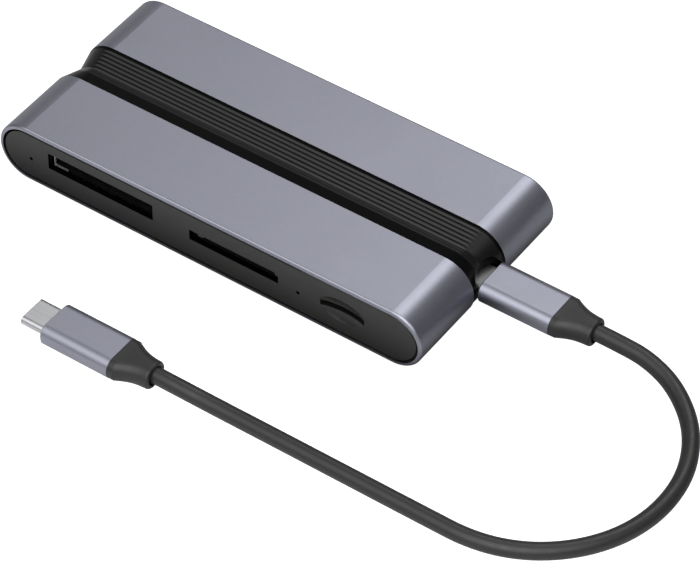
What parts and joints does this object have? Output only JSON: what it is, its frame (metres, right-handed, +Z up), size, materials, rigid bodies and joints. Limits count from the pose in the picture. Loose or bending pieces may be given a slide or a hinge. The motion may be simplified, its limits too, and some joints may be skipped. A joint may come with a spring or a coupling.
{
  "type": "card reader usb hub",
  "caption": "Flat rounded aluminium card reader hub with a ribbed black waist, card slots in its front face and a short detachable USB-C cable.",
  "frame": {"origin": "centre of the hub's underside, on the surface that its foot pads stand on", "axes": "+X along the hub towards the end where the cable plugs in, -Y out of the card slot face, +Z up"},
  "size_m": [0.1862, 0.0954, 0.0161],
  "materials": {
    "anodised_aluminium": "fine bead-blasted grey anodising",
    "black_plastic": "matt",
    "circuit_board": "solder mask",
    "steel_shell": "nickel plated",
    "gold_contacts": "gold flash",
    "clear_plastic": "polished",
    "pad_rubber": "matt",
    "thermal_rubber": "matt",
    "cord_rubber": "satin"
  },
  "bodies": {
    "hub": {"board_screws": "steel_shell", "cfexpress_base": "black_plastic", "cfexpress_cage": "steel_shell", "cfexpress_contacts": "gold_contacts", "cfexpress_ground_spring": "steel_shell", "cfexpress_header": "black_plastic", "controller_chips": "black_plastic", "data_port_shell": "steel_shell", "data_port_stand": "black_plastic", "data_port_tongue": "black_plastic", "foot_pad_front_left": "pad_rubber", "foot_pad_front_right": "pad_rubber", "foot_pad_rear_left": "pad_rubber", "foot_pad_rear_right": "pad_rubber", "front_fascia": "black_plastic", "front_sleeve": "anodised_aluminium", "host_port_shell": "steel_shell", "host_port_stand": "black_plastic", "host_port_tongue": "black_plastic", "light_pipe_left": "clear_plastic", "light_pipe_right": "clear_plastic", "main_board": "circuit_board", "microsd_contacts": "gold_contacts", "microsd_socket_base": "black_plastic", "microsd_socket_cage": "steel_shell", "microsd_spring": "steel_shell", "power_port_shell": "steel_shell", "power_port_stand": "black_plastic", "power_port_tongue": "black_plastic", "rear_fascia": "black_plastic", "rear_sleeve": "anodised_aluminium", "sd_socket_base": "black_plastic", "sd_socket_cage": "steel_shell", "sd_socket_contacts": "gold_contacts", "spine_frame": "black_plastic", "status_lamps": "clear_plastic", "thermal_pads": "thermal_rubber", "usb_port_left_shell": "steel_shell", "usb_port_left_tongue": "black_plastic", "usb_port_right_shell": "steel_shell", "usb_port_right_tongue": "black_plastic"},
    "cable": {"far_plug_board": "circuit_board", "far_plug_boot": "cord_rubber", "far_plug_grip": "anodised_aluminium", "far_plug_insert": "black_plastic", "far_plug_shell": "steel_shell", "host_plug_board": "circuit_board", "host_plug_boot": "cord_rubber", "host_plug_grip": "anodised_aluminium", "host_plug_insert": "black_plastic", "host_plug_shell": "steel_shell", "cable_cord": "cord_rubber"},
    "card_slider": {"microsd_slider": "black_plastic"}
  },
  "joints": [
    {"name": "cable_plug_pull", "type": "slide", "parent": "hub", "child": "cable", "axis": [1, 0, 0], "range_m": [0, 0.008]},
    {"name": "microsd_push", "type": "slide", "parent": "hub", "child": "card_slider", "axis": [0, 1, 0], "range_m": [0, 0.0012], "stiffness_N_per_m": 150, "springref_m": -0.0005, "deforming": ["microsd_spring"]}
  ]
}
